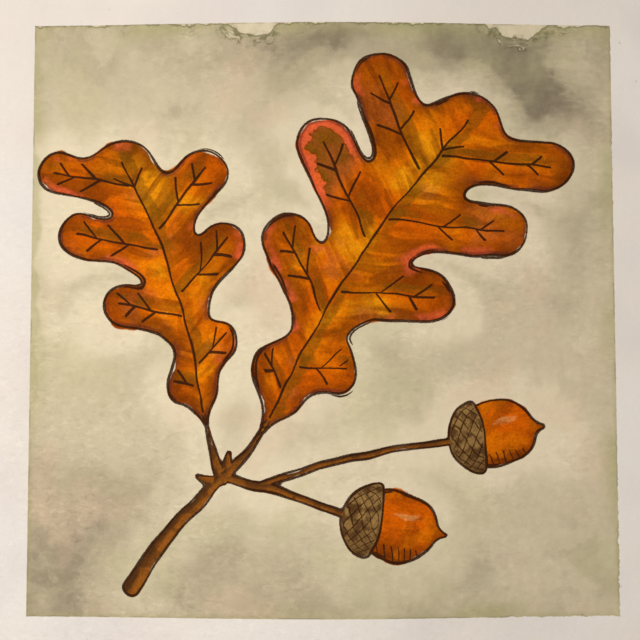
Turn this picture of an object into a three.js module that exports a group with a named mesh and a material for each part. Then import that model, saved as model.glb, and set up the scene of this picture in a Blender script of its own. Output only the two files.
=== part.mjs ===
// A painted sheet of cold-pressed watercolour paper, lying face up on a table.
//
// The sheet is one piece, cut square. It was taped down on all four sides and painted wet inside
// the tape, so the dry margins at the left and right stayed flat while the painted field between
// them bowed up and cockled a little as it dried. It rests on those two flat margins.
//
// Millimetres, +Z up out of the paint. +X runs to the picture's right and +Y to its top. The
// origin is the middle of the sheet, on the surface that it lies on.
import * as THREE from "three";

const sheetSide = 203; // an 8 inch square pad sheet
const paperThickness = 0.6; // 300 g/m2 cold-pressed paper, over its tooth

const flatMargin = 15.5; // the width of each side margin that touches the table
const bowRise = 3.1; // how far the middle of the painted field stands off the table

// The cockles left by the wet wash: long soft waves, each with its height, the number of
// half waves across and up the sheet, and its shift along each of them.
const cockles = [
  { height: 0.2, across: 3, up: 2.5, shiftAcross: 0.4, shiftUp: 0.9 },
  { height: 0.12, across: 5, up: 3.5, shiftAcross: 1.7, shiftUp: 0.2 },
  { height: 0.06, across: 4, up: 6, shiftAcross: 0.8, shiftUp: 2.1 },
];

const cellsAcross = 42; // fine enough across for the bow to read as a curve
const cellsUp = 20;

const paperColour = 0xe6dbd0;
const paperRoughness = 0.92;

// The bow's share of its full height: 1 down the middle of the sheet and 0 over the flat
// margins, where it comes in without a crease.
function bowShare(x) {
  const bowHalfWidth = sheetSide / 2 - flatMargin;
  if (Math.abs(x) >= bowHalfWidth) return 0;
  return 0.5 + 0.5 * Math.cos((Math.PI * x) / bowHalfWidth);
}

// How far the underside stands off the table at a point of the sheet. The cockles ride on the
// bow, so they die away towards the flat margins and never dip below the table.
function liftAt(x, y) {
  let wave = 0;
  for (const cockle of cockles) {
    const across = (Math.PI * cockle.across * x) / sheetSide + cockle.shiftAcross;
    const up = (Math.PI * cockle.up * y) / sheetSide + cockle.shiftUp;
    wave += cockle.height * Math.cos(across) * Math.cos(up);
  }
  return bowShare(x) * (bowRise + wave);
}

// A flat slab divided into cells, each of whose points is then raised by the lift below it.
function bowedSheet() {
  const slab = new THREE.BoxGeometry(
    sheetSide,
    sheetSide,
    paperThickness,
    cellsAcross,
    cellsUp,
    1,
  );
  slab.translate(0, 0, paperThickness / 2);
  const points = slab.getAttribute("position");
  for (let i = 0; i < points.count; i++) {
    points.setZ(i, points.getZ(i) + liftAt(points.getX(i), points.getY(i)));
  }
  slab.computeVertexNormals();
  return slab;
}

const paper = new THREE.MeshStandardMaterial({
  color: paperColour,
  roughness: paperRoughness,
  metalness: 0,
});

const paperSheet = new THREE.Mesh(bowedSheet(), paper);
paperSheet.name = "paper_sheet";

const painting = new THREE.Group();
painting.add(paperSheet);

export default painting;
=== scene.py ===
import math
import bmesh
import bpy
import numpy as np
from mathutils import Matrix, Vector, noise


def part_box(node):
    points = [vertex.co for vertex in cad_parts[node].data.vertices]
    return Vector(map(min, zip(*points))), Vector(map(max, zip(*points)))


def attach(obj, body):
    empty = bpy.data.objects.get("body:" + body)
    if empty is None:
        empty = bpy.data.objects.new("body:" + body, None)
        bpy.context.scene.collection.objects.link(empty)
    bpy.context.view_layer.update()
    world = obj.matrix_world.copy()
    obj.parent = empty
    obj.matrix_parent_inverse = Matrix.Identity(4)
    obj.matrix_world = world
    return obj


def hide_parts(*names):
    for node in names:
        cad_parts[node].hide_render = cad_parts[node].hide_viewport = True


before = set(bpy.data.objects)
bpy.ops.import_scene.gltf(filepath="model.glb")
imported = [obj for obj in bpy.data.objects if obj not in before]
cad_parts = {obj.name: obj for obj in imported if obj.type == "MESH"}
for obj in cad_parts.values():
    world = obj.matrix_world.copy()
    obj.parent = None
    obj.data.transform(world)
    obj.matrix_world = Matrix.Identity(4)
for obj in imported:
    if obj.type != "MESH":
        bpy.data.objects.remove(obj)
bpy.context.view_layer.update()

mm = 0.001
scene = bpy.context.scene
scene.view_settings.view_transform = "Standard"


# Camera: looking down on the painting, a little from its foot

photoView = {
    "lens": 50.0,
    "distance": 252.0,  # mm
    "tilt": 2.1,  # degrees from straight down
    "roll": -0.05,
    "aim": (-0.8, -0.8, 2.0),  # the point looked at, mm
    "nearest": 10.0,  # nothing closer than this is seen, mm
}


def makeCamera(view):
    data = bpy.data.cameras.new("photoCamera")
    data.lens = view["lens"]
    data.clip_start = view["nearest"] * mm
    camera = bpy.data.objects.new("photoCamera", data)
    scene.collection.objects.link(camera)
    tilt, roll = math.radians(view["tilt"]), math.radians(view["roll"])
    back = Vector((0, -math.sin(tilt), math.cos(tilt)))
    camera.location = (Vector(view["aim"]) + back * view["distance"]) * mm
    camera.rotation_euler = (tilt, 0, roll)
    scene.camera = camera


makeCamera(photoView)
print("camera placed")


# Soft light, strongest from the picture's left, so that the paper's tooth reads

lamps = [  # places and sizes in metres
    {
        "name": "windowLeft", "at": (-0.75, 0.1, 0.55), "size": 0.5,
        "watts": 6.2, "tint": (1.0, 0.985, 0.96),
    },
    {
        "name": "overhead", "at": (-0.1, 0.0, 0.42), "size": 0.24,
        "watts": 0.62, "tint": (1.0, 0.985, 0.97),
    },
]
skyGlow = {"tint": (1.0, 0.985, 0.97), "strength": 0.25}


def makeLights():
    for lamp in lamps:
        data = bpy.data.lights.new(lamp["name"], "AREA")
        data.shape = "SQUARE"
        data.size = lamp["size"]
        data.energy = lamp["watts"]
        data.color = lamp["tint"]
        light = bpy.data.objects.new(lamp["name"], data)
        light.location = lamp["at"]
        light.rotation_euler = Vector(lamp["at"]).to_track_quat("Z", "Y").to_euler()
        scene.collection.objects.link(light)
    world = bpy.data.worlds.new("skyGlow")
    world.use_nodes = True
    background = world.node_tree.nodes["Background"]
    background.inputs["Color"].default_value = (*skyGlow["tint"], 1)
    background.inputs["Strength"].default_value = skyGlow["strength"]
    scene.world = world


makeLights()
print("lights placed")


# The sheet: the size, bow and cockles of the part's own solid, with the paper's tooth on top

sheetLow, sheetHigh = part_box("paper_sheet")
sheet = {
    "side": round((sheetHigh.x - sheetLow.x) / mm, 1),  # mm, as is all that follows
    "thickness": 0.6,
    "flatMargin": 15.5,
    "bowRise": 3.1,
    "cockles": [  # height, half waves across and up, and the shift along each
        (0.2, 3, 2.5, 0.4, 0.9),
        (0.12, 5, 3.5, 1.7, 0.2),
        (0.06, 4, 6, 0.8, 2.1),
    ],
    "cells": 288,
    "backCells": 72,
    "softEdge": 0.08,  # the knife leaves the rim a little rounded
    "toothHeight": 0.075,
    "hillWidth": 3.1,
    "grainWidth": 1.5,
    "tapedTooth": 0.45,  # how much of the tooth the tape left standing in the margins
    "tapeStep": 1.2,  # the width of the change between the two
}
faceCoats = {"painted": 0, "washed": 1, "back": 2}  # the sheet's materials, in their order

# The painted field that the tape left open
field = {
    "halfWidth": 83.3,
    "halfHeight": 84.25,
    "footSpread": 0.35,  # each side's shift outwards at the foot
}


def liftAt(x, y):
    halfBow = sheet["side"] / 2 - sheet["flatMargin"]
    if abs(x) >= halfBow:
        return 0.0
    wave = 0.0
    for height, across, up, shiftAcross, shiftUp in sheet["cockles"]:
        alongX = math.cos(math.pi * across * x / sheet["side"] + shiftAcross)
        alongY = math.cos(math.pi * up * y / sheet["side"] + shiftUp)
        wave += height * alongX * alongY
    return (0.5 + 0.5 * math.cos(math.pi * x / halfBow)) * (sheet["bowRise"] + wave)


def lumps(x, y, width, layer):
    # smooth noise about 0, whose lumps are width mm across
    return noise.noise(Vector((x / width, y / width, layer)))


def toothAt(x, y):
    # from 0 in the furrows to 1 on the hills
    hills = 1.1 * abs(lumps(x, y, sheet["hillWidth"], 4.1))
    grain = 0.25 + 0.4 * lumps(x, y, sheet["grainWidth"], 8.6)
    return min(1.0, max(0.0, hills + grain))


def tapedShare(x, y):
    # 1 under where the tape was, 0 in the painted field, with a soft step between
    past = max(abs(x) - field["halfWidth"], abs(y) - field["halfHeight"])
    return min(1.0, max(0.0, 0.5 + past / sheet["tapeStep"]))


def addSide(bm, cells, level, inward):
    # one side of the sheet: a grid, and a rounded rim that turns towards the other side
    outer = sheet["side"] / 2
    flush = outer - sheet["softEdge"]
    made = bmesh.ops.create_grid(bm, x_segments=cells, y_segments=cells, size=flush)
    bmesh.ops.translate(bm, verts=made["verts"], vec=(0, 0, level))
    faces = {face for vert in made["verts"] for face in vert.link_faces}
    rim = [edge for face in faces for edge in face.edges if edge.is_boundary]
    for edge in rim:
        edge.smooth = False
    turned = bmesh.ops.extrude_edge_only(bm, edges=rim)["geom"]
    corners = [item for item in turned if isinstance(item, bmesh.types.BMVert)]
    bmesh.ops.scale(bm, verts=corners, vec=(outer / flush, outer / flush, 1))
    bmesh.ops.translate(bm, verts=corners, vec=(0, 0, inward * sheet["softEdge"]))
    return faces, [item for item in turned if isinstance(item, bmesh.types.BMEdge)]


def makeSheetMesh():
    bm = bmesh.new()
    painted, upperRim = addSide(bm, sheet["cells"], sheet["thickness"], -1)
    _, lowerRim = addSide(bm, sheet["backCells"], 0.0, 1)
    edges = [edge for edge in upperRim + lowerRim if edge.is_boundary]
    bmesh.ops.bridge_loops(bm, edges=edges)
    bmesh.ops.recalc_face_normals(bm, faces=bm.faces)
    for face in bm.faces:
        face.smooth = True
        face.material_index = faceCoats["painted" if face in painted else "back"]
    onTop = {vert for face in painted for vert in face.verts}
    for vert in bm.verts:
        x, y = vert.co.x, vert.co.y
        vert.co.z += liftAt(x, y)
        if vert in onTop:
            height = sheet["toothHeight"] * (1 - (1 - sheet["tapedTooth"]) * tapedShare(x, y))
            vert.co.z -= height * (1 - toothAt(x, y))
    mesh = bpy.data.meshes.new("painted_sheet")
    bm.to_mesh(mesh)
    bm.free()
    return mesh


# The drawing: an oak sprig, in millimetres from the middle of the sheet

sprig = {
    "wobble": 0.8,  # how far the hand strays from a true outline
    "wobbleWidth": 8.0,
    "reach": 5.0,  # no paint or ink of the sprig lies further than this from its outlines
}
oakLeaves = [
    {
        "base": (-17, -32),
        "tip": (47, 62),
        "bow": 5.0,  # how far its rib bends aside
        "halfWidth": 36.0,
        "core": 11.5,  # half the breadth of the flesh along the rib
        "crown": 10.5,  # and of the lobe at the tip
        "softness": 6.0,  # how rounded the bays between the lobes are
        "lobes": 4.7,  # as many as fit along each side
        "firstLobe": 0.32,  # where the first one starts, as a share of a lobe
    },
    {
        "base": (-33, -30),
        "tip": (-60, 50),
        "bow": -4.0,
        "halfWidth": 26.5,
        "core": 8.5,
        "crown": 8.0,
        "softness": 4.5,
        "lobes": 4.2,
        "firstLobe": 0.3,
    },
]
leafShape = {
    "footHalf": 0.6,
    "waist": 0.62,  # the core is broadest at this share of the length
    "lobeLean": 0.6,  # how far a lobe points towards the tip for each mm that it stands out
    "lobeStagger": 0.3,  # the left lobes sit this share of a lobe lower than the right ones
    "lobeFullness": 0.32,  # half a lobe's breadth, as a share of the room that it has
    "lastLobe": 0.86,  # no lobe starts past this share of the length
}
acorns = [
    {"at": (6, -55.5), "angle": -12, "halfWidth": 9.6, "length": 28},
    {"at": (36, -35), "angle": 9, "halfWidth": 9.0, "length": 26},
]
acornShape = {  # shares of the length, but for the breadth and what is marked
    "nutMiddle": 0.5,
    "nutHalf": 0.45,
    "point": (0.8, 1.03),
    "pointHalves": (3.2, 0.5),  # mm
    "pointSoftness": 1.6,  # mm
    "capBreadth": 1.13,  # a share of the nut's
    "capMiddle": 0.31,
    "capHalf": 0.34,
    "mouth": 0.38,
    "mouthCurve": 0.07,
    "capSoftness": 1.4,  # mm
}
stalks = [  # four handles of a curve, and the half widths at its two ends
    {"line": [(-54, -76), (-48, -66), (-38, -54), (-27, -44)], "ends": (2.3, 1.5)},
    {"line": [(-28, -45), (-23.5, -41), (-19, -36), (-15.4, -28.8)], "ends": (1.6, 0.3)},
    {"line": [(-28, -46), (-30.5, -41), (-32.1, -35), (-33.5, -27)], "ends": (1.5, 0.3)},
    {"line": [(-28, -45), (-16, -47), (-6, -51), (9, -56)], "ends": (1.2, 0.9)},
    {"line": [(-17, -47), (0, -41), (18, -37), (39, -34.6)], "ends": (0.9, 0.8)},
]
stalkSteps = 16  # the straight pieces that a stalk's curve is measured by
buds = [
    {"at": (-30, -47), "angle": 156, "halfWidth": 1.9, "length": 5.4},
    {"at": (-27.3, -43.5), "angle": 82, "halfWidth": 1.5, "length": 5.2},
]
budShape = {"root": 0.3, "tipHalf": 0.6}  # a share of the length, and mm


def bladeShare(t):
    # a leaf's breadth at each share of its length, for numbers and for shader wires alike
    return 2.4 * t * (1.28 - t)


def taperedEdge(u, v, start, end, halves):
    # mm from each point to a stroke with round ends, less than 0 inside it
    du, dv = end[0] - start[0], end[1] - start[1]
    share = np.clip(((u - start[0]) * du + (v - start[1]) * dv) / (du * du + dv * dv), 0, 1)
    half = halves[0] * (1 - share) + halves[1] * share
    return np.hypot(u - start[0] - share * du, v - start[1] - share * dv) - half


def fused(first, second, softness):
    # the nearer of two edges, with a rounded inner corner where they meet
    share = np.clip(0.5 + 0.5 * (second - first) / softness, 0, 1)
    return second + (first - second) * share - softness * share * (1 - share)


def placeAlong(px, py, origin, angle):
    # mm along and aside of a line that leaves the origin at an angle
    c, s = math.cos(angle), math.sin(angle)
    return (px - origin[0]) * c + (py - origin[1]) * s, (py - origin[1]) * c - (px - origin[0]) * s


def placeOn(thing, px, py):
    return placeAlong(px, py, thing["at"], math.radians(thing["angle"]))


def leafPlace(leaf, px, py):
    rib = Vector(leaf["tip"]) - Vector(leaf["base"])
    u, v = placeAlong(px, py, leaf["base"], math.atan2(rib.y, rib.x))
    return u, v - leaf["bow"] * np.sin(np.pi * np.clip(u / rib.length, 0, 1)), rib.length


def leafEdge(leaf, px, py):
    u, v, length = leafPlace(leaf, px, py)
    waist, crown = (leafShape["waist"] * length, 0), (length - leaf["crown"], 0)
    lower = taperedEdge(u, v, (0, 0), waist, (leafShape["footHalf"], leaf["core"]))
    upper = taperedEdge(u, v, waist, crown, (leaf["core"], leaf["crown"]))
    edge = fused(lower, upper, leaf["softness"])
    for side in (1, -1):
        first = 0.5 + leaf["firstLobe"] - (leafShape["lobeStagger"] if side > 0 else 0)
        for k in range(math.ceil(leaf["lobes"] * leafShape["lastLobe"] - first)):
            t = (k + first) / leaf["lobes"]
            room = length / leaf["lobes"] * (0.75 + 0.25 * bladeShare(t))
            half = leafShape["lobeFullness"] * room
            out = leaf["halfWidth"] * bladeShare(t) - half
            end = (length * t + leafShape["lobeLean"] * out, side * out)
            lobe = taperedEdge(u, v, (length * t, 0), end, (half, half))
            edge = fused(edge, lobe, leaf["softness"])
    return edge


def ovalEdge(u, v, middle, halfLength, halfWidth):
    return (np.hypot((u - middle) / halfLength, v / halfWidth) - 1) * halfWidth


def nutEdge(acorn, px, py):
    u, v = placeOn(acorn, px, py)
    length = acorn["length"]
    start, end = ((share * length, 0) for share in acornShape["point"])
    nut = ovalEdge(
        u, v, acornShape["nutMiddle"] * length, acornShape["nutHalf"] * length, acorn["halfWidth"]
    )
    point = taperedEdge(u, v, start, end, acornShape["pointHalves"])
    return fused(nut, point, acornShape["pointSoftness"])


def capEdge(acorn, px, py):
    # a dome, cut off along the curve of its mouth
    u, v = placeOn(acorn, px, py)
    length, half = acorn["length"], acornShape["capBreadth"] * acorn["halfWidth"]
    dome = ovalEdge(u, v, acornShape["capMiddle"] * length, acornShape["capHalf"] * length, half)
    mouth = u - length * (acornShape["mouth"] - acornShape["mouthCurve"] * (v / half) ** 2)
    return -fused(-dome, -mouth, acornShape["capSoftness"])


def budEdge(bud, px, py):
    u, v = placeOn(bud, px, py)
    root, tip = (budShape["root"] * bud["length"], 0), (bud["length"], 0)
    return taperedEdge(u, v, root, tip, (bud["halfWidth"], budShape["tipHalf"]))


def trueEdge(edgeOf, thing, px, py, reach=0.1):
    # an edge function's own slope turns its values into mm
    edge = edgeOf(thing, px, py)
    slopeX = edgeOf(thing, px + reach, py) - edge
    slopeY = edgeOf(thing, px, py + reach) - edge
    return edge / np.maximum(np.hypot(slopeX, slopeY) / reach, 0.3)


def curvePoint(handles, t):
    a, b, c, d = (Vector(handle) for handle in handles)
    return a * (1 - t) ** 3 + b * 3 * t * (1 - t) ** 2 + c * 3 * t * t * (1 - t) + d * t ** 3


def stalkPlace(stalk, px, py):
    # how far along, how far aside, and the edge distance of a curved stroke
    shares = [k / stalkSteps for k in range(stalkSteps + 1)]
    points = [curvePoint(stalk["line"], t) for t in shares]
    halves = [stalk["ends"][0] * (1 - t) + stalk["ends"][1] * t for t in shares]
    along, aside, edge = px * 0, px * 0, px * 0 + 1e9
    run = 0.0
    for k in range(stalkSteps):
        step = points[k + 1] - points[k]
        u, v = placeAlong(px, py, points[k], math.atan2(step.y, step.x))
        here = taperedEdge(px, py, points[k], points[k + 1], halves[k:k + 2])
        closer = here < edge
        along, aside = np.where(closer, run + u, along), np.where(closer, v, aside)
        edge = np.minimum(edge, here)
        run += step.length
    return along, aside, edge


def shapesUnder(px, py):
    # the leaves and nuts: edge distances, their own coordinates, and what the paint asks of each
    shapes = []
    for leaf in oakLeaves:
        along, aside, length = leafPlace(leaf, px, py)
        shapes.append({
            "edge": trueEdge(leafEdge, leaf, px, py), "along": along, "aside": aside,
            "nut": 0.0, "length": length, "halfWidth": leaf["halfWidth"],
            "lobes": leaf["lobes"], "firstLobe": leaf["firstLobe"],
        })
    for acorn in acorns:
        along, aside = placeOn(acorn, px, py)
        shapes.append({
            "edge": trueEdge(nutEdge, acorn, px, py), "along": along, "aside": aside,
            "nut": 1.0, "length": acorn["length"], "halfWidth": acorn["halfWidth"],
            "lobes": 1.0, "firstLobe": 0.0,
        })
    return shapes


def shapesOver(px, py):
    # the caps, stalks and buds, which are drawn over the leaves and nuts
    rows = [(trueEdge(capEdge, acorn, px, py), *placeOn(acorn, px, py), 1.0) for acorn in acorns]
    for stalk in stalks:
        along, aside, edge = stalkPlace(stalk, px, py)
        rows.append((edge, along, aside, 0.0))
    rows += [(trueEdge(budEdge, bud, px, py), *placeOn(bud, px, py), 0.0) for bud in buds]
    return [dict(zip(("overEdge", "overAlong", "overAside", "cap"), row)) for row in rows]


def nearestShape(shapes, edge):
    # what is known of whichever shape's edge is nearest, at every point
    owner = np.array([shape[edge] for shape in shapes]).argmin(0)
    return {
        name: np.choose(owner, [np.broadcast_to(shape[name], owner.shape) for shape in shapes])
        for name in shapes[0]
    }


# What the paint needs to know is kept on the points, three numbers to an attribute: they change
# smoothly from point to point, so fine lines stay crisp
drawnValues = {
    "edges": ("edge", "overEdge", "cap"),
    "place": ("along", "aside", "nut"),
    "blade": ("length", "lobes", "halfWidth"),
    "wood": ("overAlong", "overAside", "firstLobe"),
}


def addDrawing(mesh):
    points = np.empty(len(mesh.vertices) * 3)
    mesh.vertices.foreach_get("co", points)
    px, py = points[0::3], points[1::3]
    tooth = mesh.attributes.new("tooth", "FLOAT", "POINT")
    tooth.data.foreach_set("value", [toothAt(x, y) for x, y in zip(px, py)])
    strayX, strayY = (
        [sprig["wobble"] * lumps(x, y, sprig["wobbleWidth"], layer) for x, y in zip(px, py)]
        for layer in (3.3, 12.3)
    )
    handX, handY = px + strayX, py + strayY
    known = nearestShape(shapesUnder(handX, handY), "edge")
    known.update(nearestShape(shapesOver(handX, handY), "overEdge"))
    for name, values in drawnValues.items():
        layer = mesh.attributes.new(name, "FLOAT_VECTOR", "POINT")
        columns = np.stack([known[value] for value in values], 1)
        layer.data.foreach_set("vector", columns.astype(np.float32).ravel())
    away = np.minimum(known["edge"], known["overEdge"]) > sprig["reach"]
    for face in mesh.polygons:
        if face.material_index == faceCoats["painted"] and all(away[k] for k in face.vertices):
            face.material_index = faceCoats["washed"]


def makeSheet():
    mesh = makeSheetMesh()
    addDrawing(mesh)
    for vert in mesh.vertices:
        vert.co *= mm
    piece = bpy.data.objects.new("painted_sheet", mesh)
    scene.collection.objects.link(piece)
    return piece


paintedSheet = makeSheet()
print("sheet made:", len(paintedSheet.data.polygons), "faces")


# Shader maths: a wrapped socket, so that a formula reads as plain Python

class Wire:
    def __init__(self, shader, socket):
        self.shader = shader
        self.socket = socket

    def maths(self, operation, *values):
        return self.shader.node("ShaderNodeMath", {"operation": operation}, values)

    def __add__(self, other):
        return self.maths("ADD", self, other)

    __radd__ = __add__

    def __sub__(self, other):
        return self.maths("SUBTRACT", self, other)

    def __rsub__(self, other):
        return self.maths("SUBTRACT", other, self)

    def __mul__(self, other):
        return self.maths("MULTIPLY", self, other)

    __rmul__ = __mul__

    def __truediv__(self, other):
        return self.maths("DIVIDE", self, other)

    def __pow__(self, other):
        return self.maths("POWER", self, other)

    def __abs__(self):
        return self.maths("ABSOLUTE", self)

    def least(self, other):
        return self.maths("MINIMUM", self, other)

    def most(self, other):
        return self.maths("MAXIMUM", self, other)

    def whole(self):
        return self.maths("FLOOR", self)

    def sign(self):
        return self.maths("SIGN", self)

    def above(self, level):
        return self.maths("GREATER_THAN", self, level)

    def fading(self):
        # 1 where the value is 0, falling to 0 as it grows
        return self.maths("EXPONENT", self * -1.0)


def seen(red, green, blue):
    # a colour as the eye sees it, 0 to 255, as the light that a shader mixes
    light = []
    for part in (red, green, blue):
        part /= 255
        light.append(part / 12.92 if part < 0.04045 else ((part + 0.055) / 1.055) ** 2.4)
    return (*light, 1.0)


class Shader:
    def __init__(self, name):
        self.material = bpy.data.materials.new(name)
        self.material.use_nodes = True
        self.tree = self.material.node_tree
        self.tree.nodes.clear()

    def node(self, kind, settings, inputs, out=0):
        made = self.tree.nodes.new(kind)
        for setting, value in settings.items():
            if setting == "stops":
                self.setStops(made.color_ramp, value)
            else:
                setattr(made, setting, value)
        for place, value in inputs.items() if isinstance(inputs, dict) else enumerate(inputs):
            if isinstance(value, Wire):
                self.tree.links.new(value.socket, made.inputs[place])
            else:
                made.inputs[place].default_value = value
        return Wire(self, made.outputs[out]) if made.outputs else None

    def setStops(self, ramp, stops):
        ramp.interpolation = "EASE"
        while len(ramp.elements) < len(stops):
            ramp.elements.new(1.0)
        for element, (place, colour) in zip(ramp.elements, stops):
            element.position = place
            element.color = colour

    def attribute(self, name, out="Vector"):
        settings = {"attribute_type": "GEOMETRY", "attribute_name": name}
        return self.node("ShaderNodeAttribute", settings, {}, out)

    def parts(self, vector):
        split = self.node("ShaderNodeSeparateXYZ", {}, [vector]).socket.node
        return [Wire(self, split.outputs[k]) for k in range(3)]

    def place(self):
        # mm across and up the piece
        x, y, _ = self.parts(self.node("ShaderNodeTexCoord", {}, {}, out="Object"))
        return x / mm, y / mm

    def cloud(self, x, y, size, seed, detail=2.0, rough=0.5, warp=0.0):
        # noise whose lumps are size mm across; its middle is 0.5
        at = self.node("ShaderNodeCombineXYZ", {}, [x, y, 97.0 * seed])
        inputs = {
            "Vector": at, "Scale": 1 / size, "Detail": detail, "Roughness": rough, "Distortion": warp,
        }
        return self.node("ShaderNodeTexNoise", {"noise_dimensions": "3D"}, inputs)

    def step(self, value, low, high):
        # a soft step from 0 at low to 1 at high
        settings = {"interpolation_type": "SMOOTHSTEP"}
        return self.node("ShaderNodeMapRange", settings, [value, low, high, 0.0, 1.0])

    def hump(self, value, middle, width):
        # 1 where the value is at the middle, falling to 0 on both sides
        away = (value - middle) / width
        return (away * away).fading()

    def mix(self, share, first, second):
        return self.node("ShaderNodeMix", {"data_type": "RGBA"}, {0: share, 6: first, 7: second}, out=2)

    def coats(self, colour, laid):
        # coats over a colour, one after another: where each one lies, how strong, and of what colour
        for where, strength, tint in laid:
            colour = self.mix(where * strength, colour, tint)
        return colour

    def tone(self, colour, share):
        # the colour made lighter or darker all over
        return self.node("ShaderNodeVectorMath", {"operation": "SCALE"}, {0: colour, "Scale": share})

    def relief(self, height, strength, distance):
        # height moves the shading by distance mm at most
        inputs = {"Strength": strength, "Distance": distance * mm, "Height": height}
        return self.node("ShaderNodeBump", {}, inputs)

    def finish(self, colour, roughness, normal, gloss):
        surface = self.node("ShaderNodeBsdfPrincipled", {}, {
            "Base Color": colour,
            "Roughness": roughness,
            "Normal": normal,
            "Specular IOR Level": gloss,
        })
        self.node("ShaderNodeOutputMaterial", {}, [surface])
        return self.material


# The bare paper, and the pale washes laid over it between the strips of tape

paper = {
    "bare": seen(240, 231, 221),
    "warm": seen(236, 223, 208),
    # a little cooler and darker: painted shade, for where the sheet's gentle waves turn from the light
    "coolShade": seen(228, 217, 211),
    "speck": seen(176, 156, 134),
    "roughness": 0.93,
    "gloss": 0.02,
    "backRoughness": 0.95,
    "backGloss": 0.06,
}
wash = {
    "cream": seen(229, 213, 181),
    "beige": seen(208, 193, 161),
    "khaki": seen(185, 170, 140),
    "cloud": seen(141, 127, 105),
    "olive": seen(170, 163, 110),
    "moss": seen(198, 188, 144),
    "pink": seen(220, 192, 162),
    "grit": seen(104, 98, 66),
    "depth": 0.42,  # the pigment that lies on a plain place, from 0 to 1
    "haloWidth": 15.0,  # the wash thins out towards the sprig
    "haloDepth": 0.34,
    "cornerDepth": 0.19,  # the pigment ran down into the lower left corner
    "drift": 26,  # mm that the drops' outlines wander
    "feather": 11,  # mm that they feather out sideways along the tooth
    "patches": [(26, 43, 0.08), (15, 45, 0.06), (34, 47, -0.07)],  # size, seed, and added pigment
    "drops": [  # x, y, half sizes, turn in degrees, and added pigment
        (58, 66, 26, 10, -42, 0.62),
        (74, 30, 20, 8, 82, 0.22),
        (12, 78, 42, 9, 1, 0.5),
        (-66, -66, 34, 20, 12, 0.14),
        (-56, -52, 16, 7, 30, 0.12),
        (-10, -18, 12, 7, 20, 0.12),
        (38, -70, 24, 9, -12, 0.12),
        (2, -76, 18, 7, 4, 0.2),
        (66, -20, 18, 38, 0, -0.22),
        (-76, 6, 12, 36, 0, -0.22),
    ],
}
topGap = {
    "start": (-66.0, -52.0),  # there is none to the left of this, mm across from the middle
    "depth": 4.2,
    "jag": 4.2,  # how far its lip strays
}


def barePaper(shader, x, y, tooth):
    # warm patches of tone, and cool patches that are painted shade of the sheet's gentle waves
    blush = shader.step(shader.cloud(x, y, size=38, seed=1), 0.35, 0.65)
    shade = shader.step(shader.cloud(x, y, size=26, seed=9, detail=1.0), 0.45, 0.7)
    specks = shader.step(shader.cloud(x, y, size=1.6, seed=2, detail=0.0), 0.84, 0.9)
    colour = shader.coats(paper["bare"], [
        (blush, 0.5, paper["warm"]),
        (shade, 0.5, paper["coolShade"]),
        (specks, 0.4, paper["speck"]),
    ])
    fibres = shader.cloud(x, y * 2.2, size=1.0, seed=3, detail=3.0)
    wool = shader.cloud(x * 0.6, y, size=1.4, seed=62, warp=1.0)
    # painted light and shade: in the lower left, pale and dark marks for the lit and shaded sides of the
    # tooth's lumps, and all over, the tooth's furrows painted a little darker than its hills
    lowerLeft = shader.step(x + y, 40.0, -120.0)
    marks = (shader.step(wool, 0.54, 0.72) - shader.step(wool, 0.46, 0.28)) * lowerLeft
    return shader.tone(colour, 0.98 + tooth * 0.012 + (fibres - 0.5) * 0.05 + marks * 0.05)


def dropDepth(x, y, drop):
    # a drop of pigment: all of it in the middle, thinning out over an oval
    dropX, dropY, long, short, turn, pigment = drop
    c, s = math.cos(math.radians(turn)), math.sin(math.radians(turn))
    awayX, awayY = x - dropX, y - dropY
    along = (awayX * c + awayY * s) / long
    across = (awayY * c - awayX * s) / short
    return (along * along + across * across).fading() * pigment


def washDepth(shader, x, y, motif):
    # how much pigment lies on each place, from 0 to 1; motif is the distance from the sprig
    feather = (shader.cloud(x * 0.36, y, size=1.3, seed=19, detail=3.0) - 0.5) * wash["feather"]
    driftX = (shader.cloud(x, y, size=17, seed=4, detail=3.0) - 0.5) * wash["drift"] + feather
    driftY = (shader.cloud(x, y, size=17, seed=5, detail=3.0) - 0.5) * wash["drift"]
    depth = wash["depth"] + (shader.cloud(x, y, size=58, seed=6) - 0.5) * 0.6
    lowerLeft = shader.step(x + y + (driftX + driftY) * 0.5, -70.0, -150.0)
    depth = depth + lowerLeft * wash["cornerDepth"]
    depth = depth + (shader.cloud(x + feather, y, size=21, seed=7, detail=3.0, warp=0.5) - 0.5) * 0.3
    # later washes that dried with an edge, lost again here and there
    for size, seed, pigment in wash["patches"]:
        patch = shader.step(shader.cloud(x, y, size, seed, detail=5.0, rough=0.6), 0.5, 0.53)
        kept = shader.step(shader.cloud(x, y, size=26, seed=seed + 1), 0.44, 0.58)
        depth = depth + patch * kept * pigment
    for drop in wash["drops"]:
        depth = depth + dropDepth(x + driftX, y + driftY, drop)
    thin = shader.step(motif + (shader.cloud(x, y, size=12, seed=8) - 0.5) * 14, wash["haloWidth"], 0.0)
    return depth - thin * wash["haloDepth"]


def tapeInset(x, y):
    # mm in from the tape's edge
    sides = field["halfWidth"] - y * (field["footSpread"] / field["halfHeight"]) - abs(x)
    return sides.least(field["halfHeight"] - abs(y))


def tornInset(shader, x, y):
    # mm in from the wash's own edge, which the tape tore here and there as it came off, most of all
    # towards the lower right corner
    right, lowerRight = shader.step(x, 20.0, field["halfWidth"]), shader.step(x - y, 110.0, 160.0)
    torn = right * shader.step(shader.cloud(x, y, size=9, seed=39), 0.42, 0.6)
    tear = 0.35 + torn * 0.75 + lowerRight * 1.5
    ragged = shader.cloud(x, y, size=2.6, seed=10, detail=5.0, rough=0.66) - 0.5
    return tapeInset(x, y) + ragged * tear


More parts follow.
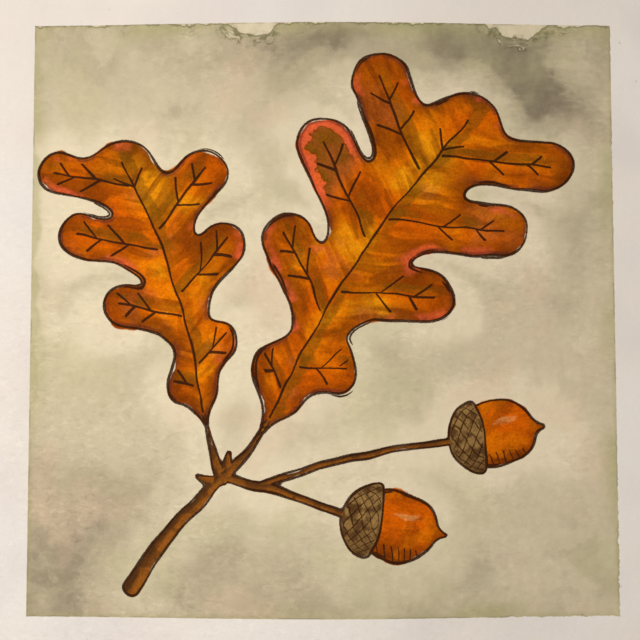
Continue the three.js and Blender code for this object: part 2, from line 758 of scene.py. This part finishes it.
def pooledWash(shader, x, y, inset):
    # pigment that gathered against the tape, and the first wash, left green along the left side
    wide = shader.step(inset, 6.5, 0.0) * shader.step(shader.cloud(x, y, size=26, seed=12), 0.38, 0.62)
    notLowerLeft = shader.step(x + y, -130.0, -70.0)
    narrow = shader.step(inset, 1.7, 0.2)
    green = shader.step(inset + (shader.cloud(x, y, size=9, seed=48, detail=4.0) - 0.5) * 8, 2.8, 0.8)
    upperLeft = shader.step(x, -70.0, -78.0) * shader.step(y, -50.0, -10.0)
    return (wide * notLowerLeft * 0.6).most(narrow * 0.4).most(green * upperLeft * 0.5)


def topStrip(shader, x, y, colour):
    # the last wash stopped short of the tape in places along the top: a pale strip with a dark
    # ragged lip, and grit that settled in crinkles below it
    started = shader.step(x, *topGap["start"])
    stopped = shader.cloud(x, 0.0, size=26, seed=13, detail=4.0, rough=0.55)
    gap = shader.step(stopped, 0.49, 0.66) * started * topGap["depth"]
    jag = (shader.cloud(x, y, size=3.8, seed=14, detail=4.0, rough=0.62) - 0.5) * topGap["jag"]
    below = field["halfHeight"] - y - gap + jag.least(0.5)
    near = shader.step(stopped, 0.46, 0.56) * started
    grit = shader.step(shader.cloud(x, y, size=2.2, seed=17, detail=4.0, rough=0.66), 0.45, 0.6)
    broken = shader.step(shader.cloud(x, y, size=6, seed=18, detail=3.0), 0.46, 0.54)
    return shader.coats(colour, [
        (shader.step(below, 0.12, -0.12), 0.85, wash["cream"]),
        (shader.hump(below, 0.2, 0.28), 0.6, wash["grit"]),
        (grit * shader.hump(below + jag * 1.5, 1.7, 1.8) * near, 0.7, wash["grit"]),
        (shader.hump(below + jag * 1.2, 3.0, 0.3) * near * broken, 0.6, wash["grit"]),
        (shader.hump(below + jag * 1.2, 2.3, 0.24) * near * broken, 0.6, wash["cream"]),
    ])


def woollyMarksAndShade(shader, x, y):
    # short marks where the paper's hills stayed pale and its furrows filled, together with painted light
    # and shade of the tooth's lumps, strongest towards the lower left
    wool = shader.cloud(x * 0.6, y * 1.1, size=1.3, seed=20, warp=0.7)
    lowerLeft = shader.step(x + y, -50.0, -120.0)
    rough = 0.3 + shader.step(shader.cloud(x, y, size=20, seed=38), 0.4, 0.62) * 0.7 + lowerLeft * 0.7
    return (shader.step(wool, 0.53, 0.72) * 0.085 - shader.step(wool, 0.47, 0.28) * 0.075) * rough


def groundWash(shader, x, y, tooth, motif):
    # the wash's colour, and where it lies
    inset = tornInset(shader, x, y)
    depth = washDepth(shader, x, y, motif)
    stops = [(0.02, wash["cream"]), (0.36, wash["beige"]), (0.66, wash["khaki"]), (1.0, wash["cloud"])]
    tint = shader.cloud(x, y, size=25, seed=11, detail=3.0)
    colour = shader.coats(shader.node("ShaderNodeValToRGB", {"stops": stops}, [depth]), [
        (shader.step(tint, 0.5, 0.72), 0.5, wash["pink"]),
        (shader.step(tint, 0.48, 0.3), 0.4, wash["moss"]),
        (pooledWash(shader, x, y, inset), 1.0, wash["olive"]),
    ])
    lip = shader.hump(inset, 0.2, 0.2) * shader.step(shader.cloud(x, y, size=8, seed=15), 0.46, 0.58)
    colour = shader.mix(lip * 0.5, topStrip(shader, x, y, colour), wash["cloud"])
    grains = shader.cloud(x, y, size=0.75, seed=16, detail=3.0)
    settled = (1 - tooth) * (depth * 0.1 + 0.03) + (grains - 0.5) * (depth * 0.12 + 0.06)
    colour = shader.tone(colour, 1.045 + woollyMarksAndShade(shader, x, y) - settled)
    return colour, shader.step(inset, -0.1, 0.12)


# The paints of the sprig, each laid in glazes: a wet first one, then smaller ones with harder edges

paint = {
    "gold": seen(238, 148, 14),
    "amber": seen(232, 122, 5),
    "orange": seen(216, 96, 4),
    "burnt": seen(170, 74, 4),
    "brown": seen(116, 52, 6),
    "olive": seen(122, 76, 10),
    "coral": seen(236, 98, 56),
    "rose": seen(206, 108, 46),
    "plum": seen(92, 42, 34),
    "shine": seen(240, 186, 112),
    "capLight": seen(152, 116, 66),
    "capDark": seen(94, 64, 34),
    "twigLight": seen(146, 84, 26),
    "twigDark": seen(80, 48, 22),
}


def lobeGrid(shader, art):
    # each lobe's own grid: mm across its vein, mm out along it, and how far towards the lobe's tip
    lean, stagger = leafShape["lobeLean"], leafShape["lobeStagger"]
    stretch = math.hypot(1, lean)
    out = abs(art["aside"])
    t = ((art["along"] - out * lean) / art["length"]).most(0.001)
    left = art["aside"].above(0.0)
    phase = art["lobes"] * t - art["firstLobe"] + left * stagger
    across = (phase - phase.whole() - 0.5) * art["length"] / (art["lobes"] * stretch)
    tipOut = art["halfWidth"] * bladeShare(t) * stretch
    number = phase.whole() + left * 7
    seed = number + (art["lobes"] * 30 + 0.5).whole()  # whole, so that it is the same all over a lobe
    return {
        "across": across,
        "out": out * stretch + across * lean,
        "tipOut": tipOut,
        "reach": out * stretch / tipOut,
        "number": number,
        "middle": (phase.whole() + 0.5 + art["firstLobe"] - left * stagger) / art["lobes"],
        "chance": shader.node("ShaderNodeTexWhiteNoise", {"noise_dimensions": "1D"}, {"W": seed}),
    }


def leafGlazes(shader, art, lobe, streaks):
    # gold to orange, wet in wet, then burnt streaks, a burnt outer half and brown brush marks
    x, y = art["x"], art["y"]
    warm = shader.cloud(x, y, size=18, seed=21, detail=3.0, warp=0.5) + (lobe["reach"] - 0.45) * 0.16
    rosy = shader.cloud(x, y, size=16, seed=23, detail=3.0)
    outer = shader.step(lobe["reach"] + (shader.cloud(x, y, size=11, seed=30) - 0.5) * 0.6, 0.5, 1.0)
    strokes = shader.cloud(lobe["across"], lobe["out"] * 0.2, size=5, seed=lobe["number"] * 0.61 + 29)
    glaze = shader.cloud(x, y, size=17, seed=24, detail=3.0, warp=0.4) + outer * 0.1
    return shader.coats(paint["gold"], [
        (shader.step(warm, 0.3, 0.44), 1.0, paint["amber"]),
        (shader.step(warm, 0.4, 0.62), 1.0, paint["orange"]),
        (shader.step(streaks, 0.42, 0.7), 0.7, paint["burnt"]),
        (shader.step(rosy, 0.56, 0.68), 0.55, paint["rose"]),
        (outer, 0.65, paint["burnt"]),
        (shader.step(strokes, 0.52, 0.58), 0.5, paint["brown"]),
        (shader.step(glaze, 0.56, 0.6), 0.34, paint["brown"]),
        (shader.hump(glaze, 0.575, 0.008), 0.2, paint["brown"]),
    ])


def besideVeins(shader, art, lobe, streaks):
    # olive strokes along the lower side of each lobe's vein and of the rib, lifted here and there
    x, y = art["x"], art["y"]
    ragged = (streaks - 0.5) * 5
    vein = shader.step(abs(lobe["across"] - 1.7) + ragged, 2.0, 1.3)
    vein = vein * shader.step(lobe["reach"], 0.95, 0.6)
    vein = vein * shader.step(shader.cloud(x, y, size=13, seed=25), 0.4, 0.5)
    rib = shader.step(abs(art["aside"] + 1.6) + ragged, 1.9, 1.1)
    return vein, rib * shader.step(shader.cloud(x, y, size=21, seed=26), 0.42, 0.52)


def coralLobes(shader, art, lobe):
    # on some lobes an olive glaze stops short of the outline, and leaves a coral rim with a ragged edge
    x, y = art["x"], art["y"]
    rimmed = shader.step(lobe["chance"], 0.82, 0.84) * shader.step(lobe["reach"], 0.4, 0.6)
    blotch = shader.cloud(x, y, size=4.5, seed=49, detail=4.0, rough=0.6)
    frayed = art["edge"] + (shader.cloud(x, y, size=5, seed=36, detail=4.0, rough=0.62) - 0.5) * 7
    return [
        (rimmed * (1.2 - blotch * 0.8), 1.0, paint["coral"]),
        (rimmed * shader.step(blotch, 0.5, 0.7), 0.5, paint["orange"]),
        (rimmed * shader.step(frayed, -2.6, -3.0) * (0.5 + blotch * 0.7), 1.0, paint["olive"]),
        (rimmed * shader.hump(frayed, -3.0, 0.3), 0.5, paint["brown"]),
    ]


def leafPaint(shader, art, lobe):
    x, y, edge = art["x"], art["y"], art["edge"]
    seed = lobe["number"] * 0.37 + 22
    streaks = shader.cloud(lobe["across"], lobe["out"] * 0.17, size=2.6, seed=seed, detail=3.0)
    vein, rib = besideVeins(shader, art, lobe, streaks)
    shaded = shader.step(edge, -6.0, -0.6) * shader.step(shader.cloud(x, y, size=14, seed=34), 0.36, 0.6)
    rim = shader.step(edge, -3.2, -0.8)
    rim = rim * shader.step(shader.cloud(x, y, size=15, seed=27, detail=3.0), 0.57, 0.65)
    pooled = shader.hump(edge, -0.75, 0.42) * shader.step(shader.cloud(x, y, size=9, seed=28), 0.44, 0.56)
    return shader.coats(leafGlazes(shader, art, lobe, streaks), [
        (vein, 0.6, paint["olive"]),
        (rib, 0.6, paint["olive"]),
        (shaded, 0.7, paint["brown"]),
        *coralLobes(shader, art, lobe),
        (rim, 0.7, paint["coral"]),
        (pooled, 0.65, paint["plum"]),
    ])


def nutPaint(shader, art):
    across, along = art["aside"] / art["halfWidth"], art["along"] / art["length"]
    streaks = shader.cloud(art["along"] * 0.16, art["aside"], size=1.5, seed=31, detail=3.0)
    glow = shader.cloud(art["x"], art["y"], size=7, seed=58, detail=3.0)
    glaze = shader.cloud(art["x"], art["y"], size=9, seed=59, detail=4.0)
    dry = shader.cloud(art["along"] * 0.3, art["aside"], size=1.1, seed=32, detail=4.0, rough=0.65)
    lit = shader.hump(across, 0.32, 0.15) * shader.hump(along, 0.64, 0.2) + (dry - 0.5) * 1.6
    return shader.coats(paint["brown"], [
        (shader.step(across, -1.0, 0.1), 1.0, paint["orange"]),
        (shader.step(across, 0.5, 1.0), 0.8, paint["burnt"]),
        (shader.step(streaks, 0.45, 0.65), 0.5, paint["burnt"]),
        (shader.step(glow, 0.47, 0.62), 0.6, paint["amber"]),
        (shader.step(glaze, 0.52, 0.55), 0.35, paint["brown"]),
        (shader.step(lit, 0.45, 0.9), 0.34, paint["shine"]),
        (shader.step(along, 0.8, 1.02), 0.6, paint["brown"]),
    ])


def woodPaint(shader, art):
    # the caps and the stalks
    along, aside = art["overAlong"], art["overAside"]
    mottle = shader.cloud(art["x"], art["y"], size=2.6, seed=33, detail=3.0)
    cap = shader.coats(paint["capLight"], [
        (shader.step(mottle, 0.4, 0.62), 1.0, paint["capDark"]),
        (shader.step(aside, 0.0, -9.0), 0.6, paint["capDark"]),
    ])
    grain = shader.cloud(along * 0.14, aside, size=1.1, seed=35, detail=3.0)
    twig = shader.coats(paint["twigDark"], [
        (shader.step(aside + (grain - 0.5) * 3, 1.1, -0.9), 1.0, paint["twigLight"]),
        (shader.step(shader.cloud(along, aside, size=6.5, seed=37), 0.53, 0.56), 0.5, paint["twigDark"]),
    ])
    return shader.mix(art["cap"], twig, cap)


def paintCover(shader, art, edge, seed):
    # the brush stops short of the line here and runs past it there
    stray = (shader.cloud(art["x"], art["y"], size=9, seed=seed) - 0.49) * 3.4
    fine = (shader.cloud(art["x"], art["y"], size=1.6, seed=seed + 1, detail=3.0) - 0.5) * 0.7
    return shader.step(edge + stray + fine, 0.22, -0.12)


# The pen: brown ink over the dry paint

pen = {
    "ink": seen(56, 28, 12),
    "outline": 0.39,  # half of a line's thickness, as are the next three
    "stalkOutline": 0.35,
    "vein": 0.33,
    "hatch": 0.17,
    "swell": 1.4,  # how much a line's thickness follows the hand's pressure
    "soft": 0.1,  # half of the width over which a line's side fades
    "hatchSpacing": 1.9,
    "scaleSpacing": 2.9,
}
veins = {
    "rib": 0.93,  # how far up the leaf the rib is drawn
    "ribFork": (0.83, 6.0),  # its fork's place, as a share of the leaf's length, and its length
    "start": 0.9,  # a lobe's vein starts this far out from the rib, or a little more
    "reach": 0.8,  # and ends at this share of the way to the lobe's tip
    "forkTurn": math.radians(43),
    "forkStart": 0.35,
    # share of the way out, length, and the shortest way to a lobe's tip that has this fork
    "forks": [(0.36, 6.4, 10), (0.62, 5.0, 20)],
}


def penLine(shader, art, distance, half):
    # a line where distance is 0: it swells with the hand's pressure and feathers into the tooth
    half = half + (art["pressure"] - 0.5) * half * pen["swell"]
    return shader.step(abs(distance) + art["feather"], half + pen["soft"], half - pen["soft"])


def penStroke(shader, art, aside, along, start, end):
    # a line with round ends
    past = (start - along).most(along - end).most(0.0)
    return penLine(shader, art, (aside * aside + past * past) ** 0.5, pen["vein"])


def evenly(value, spacing):
    # mm to the nearest of lines set a spacing apart
    turns = value / spacing
    return (turns - turns.whole() - 0.5) * spacing


def forkInk(shader, art, aside, along, length):
    # a short vein that leaves a longer one on each side
    away = abs(aside)
    c, s = math.cos(veins["forkTurn"]), math.sin(veins["forkTurn"])
    return penStroke(shader, art, away * c - along * s, away * s + along * c, veins["forkStart"], length)


def veinInk(shader, art, lobe):
    sway = (shader.cloud(art["x"], art["y"], size=15, seed=41) - 0.5) * 1.8
    sway = sway * shader.step(art["along"], 2.0, 16.0)
    rib, side = art["aside"] + sway, lobe["across"] + sway
    forkPlace, forkLength = veins["ribFork"]
    ink = penStroke(shader, art, rib, art["along"], 0.0, art["length"] * veins["rib"])
    ink = ink.most(forkInk(shader, art, rib, art["along"] - art["length"] * forkPlace, forkLength))
    start, end = veins["start"] + lobe["chance"] * 1.2, lobe["tipOut"] * veins["reach"]
    strokes = penStroke(shader, art, side, lobe["out"], start, end)
    # the two sides of a fork leave their vein a little apart
    apart = side.sign() * 0.7
    for share, length, room in veins["forks"]:
        along = lobe["out"] - lobe["tipOut"] * share + (lobe["chance"] - 0.5) * 3.0 - apart
        fork = forkInk(shader, art, side, along, length * (0.75 + lobe["chance"] * 0.5))
        strokes = strokes.most(fork * shader.step(lobe["tipOut"], room, room + 0.1))
    last = leafShape["lastLobe"]
    strokes = strokes * shader.step(lobe["middle"], last, last - 0.01)
    return ink.most(strokes) * shader.step(art["edge"], -1.2, -1.7)


def acornInk(shader, art):
    # short strokes on a nut's lower side, and the crossed lines of a cap's scales
    sway = (shader.cloud(art["x"], art["y"], size=6, seed=44) - 0.5) * 2.4
    hatch = evenly(art["along"] + art["aside"] * 0.3 + sway, pen["hatchSpacing"])
    strokes = penLine(shader, art, hatch, pen["hatch"]) * shader.step(art["edge"], -0.3, -0.5)
    strokes = strokes * shader.step(art["aside"] / art["halfWidth"], -0.56, -0.6) * art["nut"]
    along, aside = art["overAlong"], art["overAside"]
    bulge = (aside + sway) / (1.0 - aside * aside * 0.0045) * 0.6
    rising = evenly(along + sway + bulge, pen["scaleSpacing"]) * 0.85
    falling = evenly(along - bulge, pen["scaleSpacing"]) * 0.85
    scales = penLine(shader, art, rising, pen["hatch"]).most(penLine(shader, art, falling, pen["hatch"]))
    return strokes, scales * art["cap"] * shader.step(art["overEdge"], -0.5, -0.8)


def secondOutline(shader, art):
    # the outline was gone over once more, a little off the first line, and the pen was lifted in places
    stray = (shader.cloud(art["x"], art["y"], size=27, seed=42) - 0.5) * 5
    pressed = shader.step(abs(stray), 1.1, 0.85) * shader.step(abs(stray), 0.45, 0.7)
    line = penLine(shader, art, art["edge"] + stray, pressed * pen["vein"])
    return line * shader.step(pressed, 0.1, 0.4)


def drawnInk(shader, art, lobe):
    nutStrokes, capScales = acornInk(shader, art)
    outline = penLine(shader, art, art["edge"], pen["outline"]).most(secondOutline(shader, art))
    leafVeins = veinInk(shader, art, lobe) * (1 - art["nut"])
    uncovered = shader.step(art["overEdge"], 0.1, 0.4)
    under = outline.most(leafVeins).most(nutStrokes) * uncovered
    # a stalk's outline ends where it meets its leaf
    onLeaf = shader.step(art["edge"], -0.6, -1.4) * (1 - art["nut"])
    over = penLine(shader, art, art["overEdge"], pen["stalkOutline"]) * (1 - onLeaf)
    return under.most(over).most(capScales)


# The sheet's three materials

def groundColour(shader, x, y, tooth, motif):
    ground, wet = groundWash(shader, x, y, tooth, motif)
    return shader.mix(wet, barePaper(shader, x, y, tooth), ground)


def finePaper(shader, x, y):
    return shader.relief(shader.cloud(x, y, size=0.8, seed=57), 0.3, 0.08)


def washedPaper():
    # the face of the sheet away from the sprig
    shader = Shader("washed_paper")
    x, y = shader.place()
    tooth = shader.attribute("tooth", out="Fac")
    edge, overEdge, _ = shader.parts(shader.attribute("edges"))
    colour = groundColour(shader, x, y, tooth, edge.least(overEdge))
    return shader.finish(colour, paper["roughness"], finePaper(shader, x, y), paper["gloss"])


def artPlace(shader, x, y):
    # the values kept on the points, and what the pen makes of the place
    art = {"x": x, "y": y}
    for name, values in drawnValues.items():
        art.update(zip(values, shader.parts(shader.attribute(name))))
    art["pressure"] = shader.cloud(x, y, size=10, seed=51)
    art["feather"] = (shader.cloud(x, y, size=0.5, seed=52, detail=1.0) - 0.5) * 0.25
    return art


def paintedPaper():
    # the face of the sheet on and around the sprig
    shader = Shader("painted_paper")
    x, y = shader.place()
    tooth = shader.attribute("tooth", out="Fac")
    art = artPlace(shader, x, y)
    lobe = lobeGrid(shader, art)
    grains = shader.cloud(x, y, size=0.6, seed=53, detail=3.0)
    dabs = shader.cloud(x * 0.8, y * 1.1, size=2.0, seed=60, detail=4.0, rough=0.62)
    settled = 1.08 - (1 - tooth) * 0.19 + (grains - 0.5) * 0.95 + (dabs - 0.5) * 0.44
    under = shader.mix(art["nut"], leafPaint(shader, art, lobe), nutPaint(shader, art))
    over = woodPaint(shader, art)
    ink = drawnInk(shader, art, lobe)
    ground = groundColour(shader, x, y, tooth, art["edge"].least(art["overEdge"]))
    colour = shader.coats(ground, [
        (paintCover(shader, art, art["edge"], 54), 1.0, shader.tone(under, settled)),
        (paintCover(shader, art, art["overEdge"] * 1.6, 56), 1.0, shader.tone(over, settled)),
        (ink, 0.86 + grains * 0.2, pen["ink"]),
    ])
    shine = ink * 0.25
    return shader.finish(colour, paper["roughness"] - shine, finePaper(shader, x, y), paper["gloss"])


def paperBack():
    # bare paper, with a little of the wash showing through
    shader = Shader("paper_back")
    x, y = shader.place()
    tooth = shader.cloud(x, y, size=2.4, seed=61)
    damp = shader.step(tapeInset(x, y), -1.0, 2.0)
    damp = damp * shader.step(shader.cloud(x, y, size=40, seed=6), 0.35, 0.65)
    colour = shader.mix(damp * 0.16, barePaper(shader, x, y, tooth), wash["khaki"])
    relief = shader.relief(tooth, 0.4, 0.1)
    return shader.finish(colour, paper["backRoughness"], relief, paper["backGloss"])


def dressSheet(piece):
    for material in (paintedPaper(), washedPaper(), paperBack()):
        piece.data.materials.append(material)
    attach(piece, "root")
    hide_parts("paper_sheet")


dressSheet(paintedSheet)
print("sheet painted")


# A plain pale floor

floor = {
    "halfSide": 1.5,  # metres
    "drop": 0.02,  # mm below the sheet, so that the two never lie in one plane
    "tone": seen(226, 222, 216),
    "roughness": 0.8,
    "gloss": 0.3,
}


def makeFloor():
    bm = bmesh.new()
    bmesh.ops.create_grid(bm, x_segments=2, y_segments=2, size=floor["halfSide"])
    bmesh.ops.translate(bm, verts=bm.verts, vec=(0, 0, -floor["drop"] * mm))
    mesh = bpy.data.meshes.new("studio_floor")
    bm.to_mesh(mesh)
    bm.free()
    piece = bpy.data.objects.new("studio_floor", mesh)
    scene.collection.objects.link(piece)
    shader = Shader("studio_floor")
    grain = shader.relief(shader.cloud(*shader.place(), size=6, seed=71, detail=3.0), 0.1, 0.1)
    mesh.materials.append(shader.finish(floor["tone"], floor["roughness"], grain, floor["gloss"]))


makeFloor()
print("floor laid")
